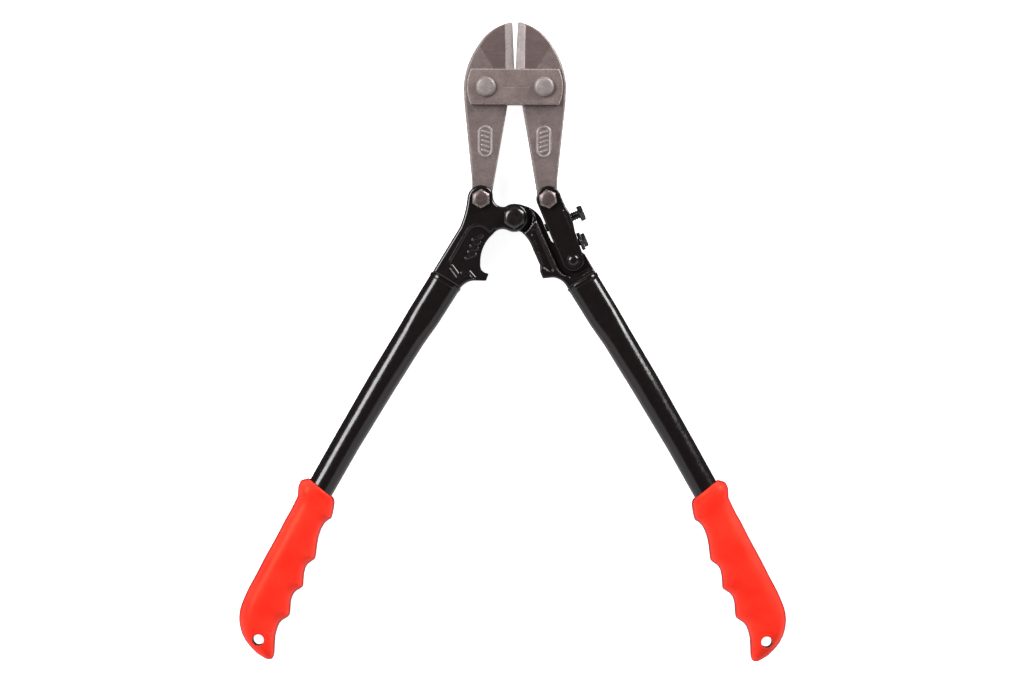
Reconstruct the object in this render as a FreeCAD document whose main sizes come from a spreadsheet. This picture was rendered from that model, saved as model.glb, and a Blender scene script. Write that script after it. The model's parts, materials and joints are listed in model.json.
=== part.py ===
import FreeCAD, Part
import math
import os
import Sketcher

# Bolt cutters, about 450 mm (18 inch) long when closed, lying flat on their back.
# Frame: +Y runs from the grips to the jaws, +X to the right, +Z up through the thickness.
# Every body is drawn about the centre pivot: its own origin is the centre pivot's axis at
# half the tool's thickness, and its Placement puts that point into the tool's frame.

SIZES = [
    # alias, value in mm or degrees
    ("pivot_forward", 81.0),        # centre pivot, ahead of the frame's origin
    ("lift", 14.0),                 # half thickness of the tool at its nuts
    ("jaw_half", 4.5),              # half thickness of a jaw
    ("jaw_pivot_x", 19.1),
    ("jaw_pivot_y", 85.9),
    ("jaw_pivot_radius", 4.0),
    ("tail_pivot_x", 21.9),
    ("tail_pivot_y", 12.3),
    ("tail_bolt_radius", 3.5),
    ("centre_bolt_radius", 4.0),
    ("running_gap", 0.05),          # radial clearance of a shaft in its hole
    ("face_gap", 0.1),              # clearance between faces that slide
    ("plate_thickness", 4.5),
    ("plate_half_width", 28.9),
    ("plate_bulge", 31.6),
    ("plate_half_height", 11.7),
    ("plate_chamfer", 0.7),
    ("rivet_head_radius", 6.7),
    ("rivet_head_rim", 1.3),
    ("rivet_head_height", 3.2),
    ("head_half", 8.5),             # half thickness of a handle head forging
    ("fork_half", 4.8),             # half width of every slot that a 9 mm part sits in
    ("washer_thickness", 0.8),
    ("centre_hex", 13.0),
    ("centre_hex_height", 5.2),
    ("tail_hex", 11.0),
    ("tail_hex_height", 4.4),
    ("nut_inset", 0.3),             # a bolt's end stops this far inside its nut
    ("link_pin_x", 38.7),
    ("link_pin_y", -27.7),
    ("link_pin_radius", 3.2),
    ("link_pin_head", 4.8),
    ("link_pin_dome", 1.6),
    ("push_screw_at", 16.8),        # along the link from the tail bolt
    ("push_screw_radius", 2.9),
    ("lock_screw_at", 33.8),
    ("lock_screw_radius", 2.5),
    ("tube_x", 44.4),
    ("tube_y", -40.9),
    ("tube_angle", 30.93),
    ("tube_wall", 1.6),
    ("grip_gap", 0.05),
    ("hanging_hole_radius", 3.7),
    ("hanging_hole_at", 265.7),     # along the handle from the tube's front end
    ("hanging_hole_side", -16.7),   # across the handle, negative towards the other handle
    ("recess_depth", 1.2),
    ("mark_height", 0.5),
    ("mark_ridge", 0.4),
]

doc = FreeCAD.newDocument("bolt_cutters")
sheet = doc.addObject("Spreadsheet::Sheet", "sizes")
for row, (alias, value) in enumerate(SIZES, start=1):
    sheet.set("A%d" % row, alias)
    sheet.set("B%d" % row, str(value))
    sheet.setAlias("B%d" % row, alias)
doc.recompute()

finished = []                       # the sub-parts, in the order they are made


def size(alias):
    """A driving dimension, read from the spreadsheet."""
    return float(sheet.get(alias))


# ---------------------------------------------------------------- drawing helpers


def place_in_tool(item):
    """Put an object's own origin at the centre pivot, half way up the tool."""
    item.setExpression("Placement.Base.y", "sizes.pivot_forward")
    item.setExpression("Placement.Base.z", "sizes.lift")


def new_body(label):
    """A body whose own origin is the centre pivot."""
    body = doc.addObject("PartDesign::Body", label)
    body.Label = label
    place_in_tool(body)
    return body


def new_sketch(body, name, plane="XY_Plane", level=None):
    """A sketch on one of the body's origin planes; level is an expression for its offset."""
    sketch = body.newObject("Sketcher::SketchObject", name)
    for feature in body.Origin.OriginFeatures:
        if feature.Role == plane:
            sketch.AttachmentSupport = [(feature, "")]
    sketch.MapMode = "FlatFace"
    if level is not None:
        sketch.setExpression("AttachmentOffset.Base.z", level)
    return sketch


def join_ends(sketch, one, other):
    """Make the two edges' nearest ends meet."""
    pairs = [(a, b) for a in (1, 2) for b in (1, 2)]
    gap = lambda pair: (sketch.getPoint(one, pair[0]) - sketch.getPoint(other, pair[1])).Length
    near = min(pairs, key=gap)
    sketch.addConstraint(Sketcher.Constraint("Coincident", one, near[0], other, near[1]))


def outline(sketch, start, *moves, side=1):
    """Draw a closed outline. A move is the next corner (x, y), or (x, y, x, y) for an arc
    through one point to the next corner. side=-1 mirrors it across the tool's centre line."""
    first = sketch.GeometryCount
    here = FreeCAD.Vector(side * start[0], start[1], 0)
    for move in moves + (start,):
        there = FreeCAD.Vector(side * move[-2], move[-1], 0)
        if (there - here).Length < 1e-6:
            continue
        if len(move) == 4:
            through = FreeCAD.Vector(side * move[0], move[1], 0)
            sketch.addGeometry(Part.Arc(here, through, there))
        else:
            sketch.addGeometry(Part.LineSegment(here, there))
        here = there
    count = sketch.GeometryCount - first
    for number in range(count):
        join_ends(sketch, first + number, first + (number + 1) % count)


def circle(sketch, x, y, radius):
    """A circle whose centre and radius are expressions of the sheet's cells."""
    index = sketch.addGeometry(Part.Circle(FreeCAD.Vector(0, 0, 0), FreeCAD.Vector(0, 0, 1), 1.0))
    for kind, value in (("DistanceX", x), ("DistanceY", y)):
        number = sketch.addConstraint(Sketcher.Constraint(kind, -1, 1, index, 3, 1.0))
        sketch.setExpression("Constraints[%d]" % number, value)
    number = sketch.addConstraint(Sketcher.Constraint("Radius", index, 1.0))
    sketch.setExpression("Constraints[%d]" % number, radius)


def hexagon(sketch, flats, turn=0):
    """A regular hexagon, flats across, about the sketch's origin."""
    corner = flats / math.sqrt(3)
    spokes = [math.radians(60 * step + turn) for step in range(6)]
    corners = [(corner * math.cos(a), corner * math.sin(a)) for a in spokes]
    outline(sketch, corners[0], *corners[1:])


def pad(body, sketch, name, length, symmetric=False, downward=False):
    """Add material from a sketch; length is an expression."""
    feature = body.newObject("PartDesign::Pad", name)
    feature.Profile = sketch
    feature.setExpression("Length", length)
    feature.SideType = "Symmetric" if symmetric else "One side"
    feature.Reversed = downward
    doc.recompute()
    return feature


def pocket(body, sketch, name, length, symmetric=True, downward=True):
    """Cut a sketch's shape out of the body, and make sure that something was cut."""
    before = body.Shape.Volume
    feature = body.newObject("PartDesign::Pocket", name)
    feature.Profile = sketch
    feature.setExpression("Length", length)
    feature.SideType = "Symmetric" if symmetric else "One side"
    feature.Reversed = not downward
    doc.recompute()
    if body.Shape.Volume > before - 1e-3:
        raise RuntimeError(body.Label + ": " + name + " cuts nothing")
    return feature


def edge_names(shape, wanted):
    """The names of the edges whose middle point and ends the function wants."""
    names = []
    for number, edge in enumerate(shape.Edges, start=1):
        middle = edge.valueAt((edge.FirstParameter + edge.LastParameter) / 2)
        ends = [vertex.Point for vertex in edge.Vertexes]
        if wanted(middle, ends):
            names.append("Edge%d" % number)
    return names


def soften(body, name, kind, amount, wanted):
    """Fillet or chamfer the wanted edges of the body's tip."""
    base = body.Tip
    names = edge_names(base.Shape, wanted)
    feature = body.newObject("PartDesign::" + kind, name)
    feature.Base = (base, names)
    if kind == "Fillet":
        feature.Radius = amount
    else:
        feature.Size = amount
    doc.recompute()
    if not feature.isValid() or feature.Shape.isNull():
        raise RuntimeError(body.Label + ": " + name + " failed")
    return feature


def disc(body, name, radius, level, length, downward=False):
    """A round boss about the body's Z axis, from a level upwards; radius and length are
    expressions, level is an expression too."""
    sketch = new_sketch(body, name + "_circle", level=level)
    circle(sketch, "0", "0", radius)
    return pad(body, sketch, name, length, downward=downward)


def round_rim(body, name, amount, height):
    """Round off the circular edge at a height."""
    soften(body, name, "Fillet", amount, lambda spot, ends: abs(spot.z - height) < 1e-6)


def stand_at(body, x, y):
    """Move a body that was made on its own Z axis to (x, y); both are expressions."""
    body.setExpression("Placement.Base.x", x)
    body.setExpression("Placement.Base.y", "sizes.pivot_forward + " + y)


def keep(item):
    """Count a finished sub-part."""
    finished.append(item)
    return item


# ---------------------------------------------------------------- jaws and link plates

JAW_OUTLINE = [
    (1.65, 128.5), (3.7, 128.7), (7.7, 127.1), (16.9, 121.9, 24.0, 113.7),
    (30.6, 101.2, 33.75, 86.0), (33.2, 75.2), (27.9, 23.8), (27.9, 16.3),
]
JAW_EDGE_FOOT = (0.25, 91.0)        # lower end of the straight cutting edge
JAW_HEEL = (4.65, 75.0)             # top of the tail's inner edge


def jaw_outline(sketch, side):
    """The jaw: cutting edge, curved back, long tail and a round end about the tail bolt."""
    bolt_x, bolt_y, end_radius = size("tail_pivot_x"), size("tail_pivot_y"), 7.2
    start_angle, end_angle = math.radians(33.6), math.radians(163)
    first = (bolt_x + end_radius * math.cos(start_angle), bolt_y + end_radius * math.sin(start_angle))
    low = (bolt_x, bolt_y - end_radius)
    last = (bolt_x + end_radius * math.cos(end_angle), bolt_y + end_radius * math.sin(end_angle))
    moves = JAW_OUTLINE[1:-1] + [first, low + last, JAW_HEEL, JAW_EDGE_FOOT]
    outline(sketch, JAW_OUTLINE[0], *moves, side=side)


def cartouche(body, side):
    """A raised stadium on the tail with plain slanting ridges, on the front face."""
    centre_x, centre_y, half_width, half_length = 19.0, 50.0, 4.9, 10.7
    straight = half_length - half_width
    lean = math.radians(7)
    turn = lambda x, y: (centre_x + x * math.cos(lean) + y * math.sin(lean),
                         centre_y - x * math.sin(lean) + y * math.cos(lean))
    top, bottom = turn(0, half_length), turn(0, -half_length)
    sketch = new_sketch(body, "cartouche_outline", level="sizes.jaw_half")
    outline(sketch, turn(half_width, straight), top + turn(-half_width, straight),
            turn(-half_width, -straight), bottom + turn(half_width, -straight), side=side)
    pad(body, sketch, "cartouche", "sizes.mark_height")
    ridges = new_sketch(body, "ridge_outlines", level="sizes.jaw_half + sizes.mark_height")
    for step in (-1, 0, 1):
        low = step * 5.0 - 1.8
        outline(ridges, turn(-2.6, low), turn(2.6, low + 1.6), turn(2.6, low + 3.4),
                turn(-2.6, low + 1.8), side=side)
    pad(body, ridges, "ridges", "sizes.mark_ridge")


def grinding_block(name, corner, along, away, outward, reach):
    """A box whose lower face is a ground plane. corner is on the plane, along and away run
    in it, outward is its normal. It reaches this far along away, and 5 mm the other way."""
    if away.cross(outward).dot(along) < 0:
        along = along * -1
    length, overlap = 90, 5
    block = doc.addObject("Part::Box", name)
    block.Length, block.Width, block.Height = reach + overlap, 20, length
    axes = FreeCAD.Matrix(away.x, outward.x, along.x, 0, away.y, outward.y, along.y, 0,
                          away.z, outward.z, along.z, 0, 0, 0, 0, 1)
    origin = corner - away * overlap - along * (length / 2)
    in_tool = FreeCAD.Vector(0, size("pivot_forward"), size("lift"))
    block.Placement = FreeCAD.Placement(origin + in_tool, FreeCAD.Placement(axes).Rotation)
    return block


def jaw_blocks(label, side):
    """The four ground planes of a jaw: an edge bevel and a shallow relief on each face."""
    half = size("jaw_half")
    edge_half, bevel_width, relief_slope = 0.4, 6.0, math.radians(1.5)
    tip = FreeCAD.Vector(side * JAW_OUTLINE[0][0], JAW_OUTLINE[0][1], 0)
    foot = FreeCAD.Vector(side * JAW_EDGE_FOOT[0], JAW_EDGE_FOOT[1], 0)
    edge = (tip - foot).normalize()
    into_jaw = FreeCAD.Vector(side * abs(edge.y), -abs(edge.x), 0)
    high, low = FreeCAD.Vector(side * 23.2, 112.5, 0), FreeCAD.Vector(side * 14.0, 98.2, 0)
    diagonal = (high - low).normalize()
    to_tip = FreeCAD.Vector(-side * abs(diagonal.y), abs(diagonal.x), 0)
    rise = math.atan2(half - edge_half, bevel_width)
    blocks = []
    for face in (1, -1):
        up = FreeCAD.Vector(0, 0, face)
        normal = up * math.cos(rise) - into_jaw * math.sin(rise)
        slope = into_jaw * math.cos(rise) + up * math.sin(rise)
        corner = (tip + foot) * 0.5 + up * edge_half
        blocks.append(grinding_block("%s_bevel_%d" % (label, face), corner, edge, slope,
                                     normal, 12))
        normal = up * math.cos(relief_slope) + to_tip * math.sin(relief_slope)
        slope = to_tip * math.cos(relief_slope) - up * math.sin(relief_slope)
        corner = (high + low) * 0.5 + up * half
        blocks.append(grinding_block("%s_relief_%d" % (label, face), corner, diagonal, slope,
                                     normal, 60))
    return blocks


def make_jaw(label, side):
    """A forged jaw with ground edges, a pivot hole and a tail hole."""
    body = new_body(label + "_forging")
    sketch = new_sketch(body, "jaw_outline")
    jaw_outline(sketch, side)
    pad(body, sketch, "jaw_pad", "2 * sizes.jaw_half", symmetric=True)
    back_edge = lambda middle, ends: (abs(abs(middle.z) - size("jaw_half")) < 1e-6
                                      and side * middle.x > 5 and middle.y > 24)
    soften(body, "back_chamfer", "Chamfer", 1.1, back_edge)
    holes = new_sketch(body, "pivot_holes")
    direction = "%d * " % side
    circle(holes, direction + "sizes.jaw_pivot_x", "sizes.jaw_pivot_y",
           "sizes.jaw_pivot_radius + sizes.running_gap")
    circle(holes, direction + "sizes.tail_pivot_x", "sizes.tail_pivot_y",
           "sizes.tail_bolt_radius + sizes.running_gap")
    pocket(body, holes, "pivot_bores", "4 * sizes.jaw_half")
    cartouche(body, side)
    blocks = doc.addObject("Part::MultiFuse", label + "_grinding")
    blocks.Shapes = jaw_blocks(label, side)
    jaw = doc.addObject("Part::Cut", label)
    jaw.Label = label
    jaw.Base = body
    jaw.Tool = blocks
    doc.recompute()
    return keep(jaw)


def make_link_plate(label, face):
    """A flat plate across both jaws, with bowed ends; face is 1 in front and -1 behind."""
    body = new_body(label)
    near = "(sizes.jaw_half + sizes.face_gap)"
    sketch = new_sketch(body, "plate_outline", level="%d * %s" % (face, near))
    width, bulge, height = size("plate_half_width"), size("plate_bulge"), size("plate_half_height")
    middle = size("jaw_pivot_y")
    outline(sketch, (-width, middle - height), (width, middle - height),
            (bulge, middle, width, middle + height), (-width, middle + height),
            (-bulge, middle, -width, middle - height))
    for side in ("", "-1 * "):
        circle(sketch, side + "sizes.jaw_pivot_x", "sizes.jaw_pivot_y",
               "sizes.jaw_pivot_radius + sizes.running_gap")
    pad(body, sketch, "plate", "sizes.plate_thickness", downward=face < 0)
    outer = face * (size("jaw_half") + size("face_gap") + size("plate_thickness"))
    rim = lambda spot, ends: (abs(spot.z - outer) < 1e-6
                              and (abs(abs(spot.y - middle) - height) < 0.1
                                   or abs(spot.x) > bulge - 1.5))
    soften(body, "rim_chamfer", "Chamfer", size("plate_chamfer"), rim)
    return keep(body)


def plate_face():
    """Height of a link plate's outer face above the middle of the tool."""
    return size("jaw_half") + size("face_gap") + size("plate_thickness")


def make_jaw_pivot(label, side):
    """The rivet a jaw turns on: a low rounded head in front, its end inside the rear nut."""
    body = new_body(label)
    under = "sizes.jaw_half + sizes.face_gap + sizes.plate_thickness"
    disc(body, "shank", "sizes.jaw_pivot_radius", under,
         under + " + sizes.lift - sizes.nut_inset", downward=True)
    disc(body, "head", "sizes.rivet_head_radius", under, "sizes.rivet_head_height")
    round_rim(body, "head_round", size("rivet_head_height") - size("rivet_head_rim"),
              plate_face() + size("rivet_head_height"))
    stand_at(body, "%d * sizes.jaw_pivot_x" % side, "sizes.jaw_pivot_y")
    return keep(body)


def make_nut(label, x, y, flats, bore, top, turn):
    """A hexagon nut with bevelled corners below the tool; top is the height of its upper face."""
    body = new_body(label)
    bottom = -size("lift")
    sketch = new_sketch(body, "nut_hexagon")
    sketch.AttachmentOffset = FreeCAD.Placement(FreeCAD.Vector(0, 0, bottom), FreeCAD.Rotation())
    hexagon(sketch, flats, turn)
    circle(sketch, "0", "0", bore + " + sizes.running_gap")
    pad(body, sketch, "nut", "%r" % (top - bottom))
    bevel_hexagon(body, flats, bottom, 1)
    stand_at(body, x, y)
    return keep(body)


def bevel_hexagon(body, flats, face, inward):
    """Turn off a hexagon's corners at the face; inward is the direction from face into it."""
    flat = flats / 2
    corner = flats / math.sqrt(3) + 0.5
    sketch = new_sketch(body, "corner_bevel", "XZ_Plane")
    drop = (corner - flat * 0.96) * math.tan(math.radians(28))
    outline(sketch, (flat * 0.96, face - inward * 0.01), (corner, face - inward * 0.01),
            (corner, face + inward * drop))
    groove = body.newObject("PartDesign::Groove", "bevelled_corners")
    groove.Profile = sketch
    groove.ReferenceAxis = (sketch, ["V_Axis"])
    groove.Angle = 360
    doc.recompute()
    return groove


def make_hex_bolt(label, x, y, flats, shaft, under, head_height, turn):
    """A hexagon-headed bolt: under is the height its head sits at, its end is inside the nut."""
    body = new_body(label)
    head = new_sketch(body, "head_hexagon")
    head.AttachmentOffset = FreeCAD.Placement(FreeCAD.Vector(0, 0, under), FreeCAD.Rotation())
    hexagon(head, flats, turn)
    pad(body, head, "head", head_height)
    bevel_hexagon(body, flats, under + size(head_height.split(".")[1]), -1)
    shank = new_sketch(body, "shank_circle")
    shank.AttachmentOffset = FreeCAD.Placement(FreeCAD.Vector(0, 0, under), FreeCAD.Rotation())
    circle(shank, "0", "0", shaft)
    pad(body, shank, "shank", "%r + sizes.lift - sizes.nut_inset" % under, downward=True)
    stand_at(body, x, y)
    return keep(body)


def make_washer(label, x, y, outer, bore):
    """A flat washer behind a handle head."""
    body = new_body(label)
    sketch = new_sketch(body, "washer_rings", level="-1 * sizes.head_half")
    circle(sketch, "0", "0", outer)
    circle(sketch, "0", "0", bore + " + sizes.running_gap")
    pad(body, sketch, "washer", "sizes.washer_thickness", downward=True)
    stand_at(body, x, y)
    return keep(body)


# ---------------------------------------------------------------- handle heads

LEFT_HEAD = [
    (-14.6, 17.6), (-21.9, 21.3, -30.9, 12.6), (-32.0, 5.5, -35.9, -6.6), (-45.7, -22.9),
    (-53.4, -35.6), (-35.4, -46.4), (-31.6, -42.9, -24.6, -41.3), (-18.4, -41.4), (-16.7, -36.6),
    (-20.6, -35.0, -22.2, -30.0), (-20.8, -20.6, -14.0, -10.7), (-9.6, -7.6, -4.6, -7.96),
    (6.5, -6.5, 9.2, 0.0), (6.5, 6.5, 0.0, 9.2), (-3.4, 8.6, -6.0, 7.2), (-11.0, 8.1, -14.0, 12.4),
]

INNER_BOW = [(25.8, -39.0), (18.9, -39.8), (17.0, -35.5), (16.9, -31.0), (12.2, -20.4)]

RIGHT_WEB = [
    (-6.4, -6.3), (-9.0, 0.0, -6.4, 6.3), (0.0, 9.0, 6.2, 8.1), (14.6, 3.6, 19.4, -4.6),
    (24.3, -15.2), (27.0, -17.0), (36.2, -15.3), (39.0, -20.1), (42.8, -20.7), (46.4, -23.6),
    (53.4, -35.6), (35.4, -46.4), (31.0, -40.9) + INNER_BOW[0],
] + INNER_BOW[1:] + [(9.4, -14.6, 4.6, -9.2), (2.4, -8.67), (0.0, -9.0)]

RIGHT_BEAM = [
    (7.6, 7.8), (12.3, 4.6, 15.0, -1.7), (28.7, -32.0), (34.4, -37.7, 45.4, -36.3),
    (51.6, -32.6), (53.4, -35.6), (35.4, -46.4), (31.0, -40.9) + INNER_BOW[0],
] + INNER_BOW[1:] + [(10.0, -15.4, 5.5, -9.9), (11.2, -2.0) + (7.6, 7.8)]


def face_sketch(body, name, face):
    """A sketch on a forging's front or back face."""
    return new_sketch(body, name, level="%d * sizes.head_half" % face)


def pocket_face(body, sketch, name, face):
    """Sink a shallow recess into a forging's front or back face."""
    pocket(body, sketch, name, "sizes.recess_depth", symmetric=False, downward=face > 0)


def head_tang(body, side):
    """The flat tang that goes into the tube."""
    angle = math.radians(size("tube_angle"))
    along = FreeCAD.Vector(math.sin(angle), -math.cos(angle), 0)
    across = FreeCAD.Vector(math.cos(angle), math.sin(angle), 0)
    root = FreeCAD.Vector(size("tube_x"), size("tube_y"), 0)
    half_width, length, root_depth, taper = 6.5, 34.0, 4.0, 0.7
    corners = []
    for distance, offset in ((-root_depth, -1), (length, -taper), (length, taper),
                             (-root_depth, 1)):
        corner = root + along * distance + across * (offset * half_width)
        corners.append((corner.x, corner.y))
    sketch = new_sketch(body, "tang_outline")
    outline(sketch, corners[0], *corners[1:], side=side)
    pad(body, sketch, "tang", "9", symmetric=True)


def make_left_head():
    """The left handle head, forked for the jaw's tail and for the right head's tongue."""
    body = new_body("handle_head_left")
    sketch = new_sketch(body, "head_outline")
    outline(sketch, LEFT_HEAD[0], *LEFT_HEAD[1:])
    pad(body, sketch, "forging", "2 * sizes.head_half", symmetric=True)
    slot = new_sketch(body, "tail_slot")
    outline(slot, (-33.0, 4.0), (-29.5, 30.0), (-12.0, 30.0), (-13.9, 12.3),
            (-17.6, 5.3, -24.0, 4.4), (-29.0, 1.2))
    pocket(body, slot, "tail_fork", "2 * sizes.fork_half")
    slot = new_sketch(body, "tongue_slot")
    outline(slot, (-2.5, 12.8), (-11.2, 3.2), (-11.2, -3.2), (-3.5, -13.0), (14.0, -14.0),
            (14.0, 14.0))
    pocket(body, slot, "tongue_fork", "2 * sizes.fork_half")
    holes = new_sketch(body, "bolt_holes")
    circle(holes, "-1 * sizes.tail_pivot_x", "sizes.tail_pivot_y",
           "sizes.tail_bolt_radius + sizes.running_gap")
    circle(holes, "0", "0", "sizes.centre_bolt_radius + sizes.running_gap")
    pocket(body, holes, "bolt_bores", "4 * sizes.head_half")
    for face in (1, -1):
        panel = face_sketch(body, "panel_outline", face)
        outline(panel, (-12.0, -6.0), (-16.4, -9.7), (-24.6, -5.2, -31.0, -9.6), (-41.9, -28.8),
                (-42.4, -33.0), (-37.6, -39.4), (-29.2, -37.4), (-24.5, -43.0), (-12.0, -43.0))
        pocket_face(body, panel, "panel", face)
    marks = new_sketch(body, "mark_outlines", level="sizes.head_half - sizes.recess_depth")
    for step in range(4):
        left, low = -26.6 - 1.5 * step, -15.6 - 4.0 * step
        outline(marks, (left, low), (left + 6.2, low + 2.8), (left + 5.6, low + 4.2),
                (left - 0.6, low + 1.4))
    pad(body, marks, "marks", "sizes.mark_ridge")
    head_tang(body, -1)
    return keep(body)


def make_right_head():
    """The right handle head: a central web with tongue and link lug, and a thicker beam."""
    body = new_body("handle_head_right")
    sketch = new_sketch(body, "web_outline")
    outline(sketch, RIGHT_WEB[0], *RIGHT_WEB[1:])
    pad(body, sketch, "web", "2 * sizes.jaw_half", symmetric=True)
    holes = new_sketch(body, "centre_notch")
    outline(holes, (0.6, -5.3), (5.7, 0.4, 0.6, 5.3), (-4.0, 6.4), (-14.0, 8.0), (-14.0, -4.0),
            (-4.0, -4.6))
    pocket(body, holes, "centre_relief", "4 * sizes.jaw_half")
    holes = new_sketch(body, "pin_hole")
    circle(holes, "sizes.link_pin_x", "sizes.link_pin_y",
           "sizes.link_pin_radius + sizes.running_gap")
    pocket(body, holes, "pin_bore", "4 * sizes.jaw_half")
    beam = new_sketch(body, "beam_outline")
    outline(beam, RIGHT_BEAM[0], *RIGHT_BEAM[1:])
    pad(body, beam, "beam", "2 * sizes.head_half", symmetric=True)
    for face in (1, -1):
        groove = face_sketch(body, "groove_outline", face)
        outline(groove, (11.6, -11.4), (11.7, -8.2, 14.4, -8.0), (25.2, -32.2),
                (25.4, -34.6, 22.6, -34.8), (19.4, -32.8))
        pocket_face(body, groove, "groove", face)
    head_tang(body, 1)
    return keep(body)


# ---------------------------------------------------------------- adjusting link and its screws


def link_point(along, across):
    """A point of the adjusting link: along from its tail bolt to its pin, across outwards."""
    top = FreeCAD.Vector(size("tail_pivot_x"), size("tail_pivot_y"), 0)
    foot = FreeCAD.Vector(size("link_pin_x"), size("link_pin_y"), 0)
    down = (foot - top).normalize()
    out = FreeCAD.Vector(-down.y, down.x, 0)
    spot = top + down * along + out * across
    return (spot.x, spot.y)


def link_length():
    """Distance from the tail bolt to the link's pin."""
    return math.hypot(size("link_pin_x") - size("tail_pivot_x"),
                      size("link_pin_y") - size("tail_pivot_y"))


def make_adjusting_link():
    """A strap folded to a channel: two side plates, and a web along the outer edge that the
    two screws go through."""
    body = new_body("adjusting_link")
    foot = link_length()
    sketch = new_sketch(body, "link_outline")
    outline(sketch, link_point(0.0, -7.4),
            link_point(-8.5, 0.6) + link_point(1.5, 8.6), link_point(9.5, 8.8),
            link_point(13.0, 9.7), link_point(19.5, 9.6), link_point(26.5, 8.3),
            link_point(foot, 7.2), link_point(foot + 7.2, 0) + link_point(foot, -7.2))
    pad(body, sketch, "link", "2 * sizes.head_half", symmetric=True)
    inside = new_sketch(body, "channel_outline")
    outline(inside, link_point(-12.0, -9.5), link_point(-12.0, 12.0), link_point(7.9, 12.0),
            link_point(8.6, 5.4), link_point(37.0, 4.6), link_point(37.6, 12.0),
            link_point(foot + 12, 12.0), link_point(foot + 12, -9.5))
    pocket(body, inside, "channel", "2 * sizes.fork_half")
    holes = new_sketch(body, "pin_holes")
    circle(holes, "sizes.tail_pivot_x", "sizes.tail_pivot_y",
           "sizes.tail_bolt_radius + sizes.running_gap")
    circle(holes, "sizes.link_pin_x", "sizes.link_pin_y",
           "sizes.link_pin_radius + sizes.running_gap")
    pocket(body, holes, "pin_bores", "4 * sizes.head_half")
    for name, radius in (("push_screw", "push_screw_radius"), ("lock_screw", "lock_screw_radius")):
        drill_across_link(body, name, radius)
    return keep(body)


def across_link(item, alias, across):
    """Turn an item's own Z axis to point outwards across the link, with its origin across
    the link's centre line at the screw's place along it."""
    spot = link_point(size(alias), across)
    inner, outer = link_point(0, 0), link_point(0, 1)
    outward = FreeCAD.Vector(outer[0] - inner[0], outer[1] - inner[1], 0)
    spin = FreeCAD.Rotation(FreeCAD.Vector(0, 0, 1), outward)
    item.Placement = FreeCAD.Placement(FreeCAD.Vector(spot[0], spot[1], 0), spin)
    return spot


def stand_across_link(body, alias, across):
    """Place a body that was made on its own Z axis across the link."""
    body.setExpression("Placement.Base.y", None)
    spot = across_link(body, alias, across)
    stand_at(body, "%r" % spot[0], "%r" % spot[1])
    body.setExpression("Placement.Base.z", "sizes.lift")
    doc.recompute()


def drill_across_link(body, name, radius):
    """A screw's hole through the link's web."""
    drill = body.newObject("PartDesign::SubtractiveCylinder", name + "_hole")
    drill.setExpression("Radius", "sizes.%s + sizes.running_gap" % radius)
    drill.Height = 12
    across_link(drill, name + "_at", 2.0)
    doc.recompute()


def make_cross_screw(name, radius, tip, head_low, head_high, flats):
    """A hexagon-headed screw that lies across the link; tip, head_low and head_high are
    distances across the link from its centre line."""
    body = new_body(name)
    shank = body.newObject("PartDesign::AdditiveCylinder", "shank")
    shank.setExpression("Radius", "sizes." + radius)
    shank.Height = head_low - tip
    doc.recompute()
    head = new_sketch(body, "head_hexagon")
    head.AttachmentOffset = FreeCAD.Placement(FreeCAD.Vector(0, 0, head_low - tip),
                                              FreeCAD.Rotation())
    hexagon(head, flats)
    pad(body, head, "head", "%r" % (head_high - head_low))
    bevel_hexagon(body, flats, head_high - tip, -1)
    stand_across_link(body, name + "_at", tip)
    return keep(body)


def make_lock_nut():
    """The thin nut between the lock screw's head and the link."""
    body = new_body("lock_nut")
    flats, height, clear_of_link = 12.0, 2.3, 8.4
    sketch = new_sketch(body, "nut_hexagon")
    hexagon(sketch, flats)
    circle(sketch, "0", "0", "sizes.lock_screw_radius + sizes.running_gap")
    pad(body, sketch, "nut", "%r" % height)
    bevel_hexagon(body, flats, height, -1)
    stand_across_link(body, "lock_screw_at", clear_of_link)
    return keep(body)


def make_link_pin():
    """The pin at the link's foot, with a rounded head at each end."""
    body = new_body("link_pin")
    disc(body, "shank", "sizes.link_pin_radius", "-1 * sizes.head_half", "2 * sizes.head_half")
    disc(body, "front_head", "sizes.link_pin_head", "sizes.head_half", "sizes.link_pin_dome")
    disc(body, "back_head", "sizes.link_pin_head", "-1 * sizes.head_half",
         "sizes.link_pin_dome", downward=True)
    end = size("head_half") + size("link_pin_dome")
    round_rim(body, "front_round", size("link_pin_dome") - 0.2, end)
    round_rim(body, "back_round", size("link_pin_dome") - 0.2, -end)
    stand_at(body, "sizes.link_pin_x", "sizes.link_pin_y")
    return keep(body)


# ---------------------------------------------------------------- tubes and grips

# distance along the handle, width, thickness, offset of the centre line
TUBE_STATIONS = [
    (0.1, 21.6, 14.5, 0.0), (28.0, 21.3, 14.9, 0.4), (44.0, 19.9, 16.9, 0.9),
    (80.0, 19.2, 18.3, 1.2), (125.0, 17.9, 17.6, 0.8), (170.0, 17.6, 17.4, -0.4),
    (215.0, 17.4, 17.2, -1.9),
]

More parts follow.
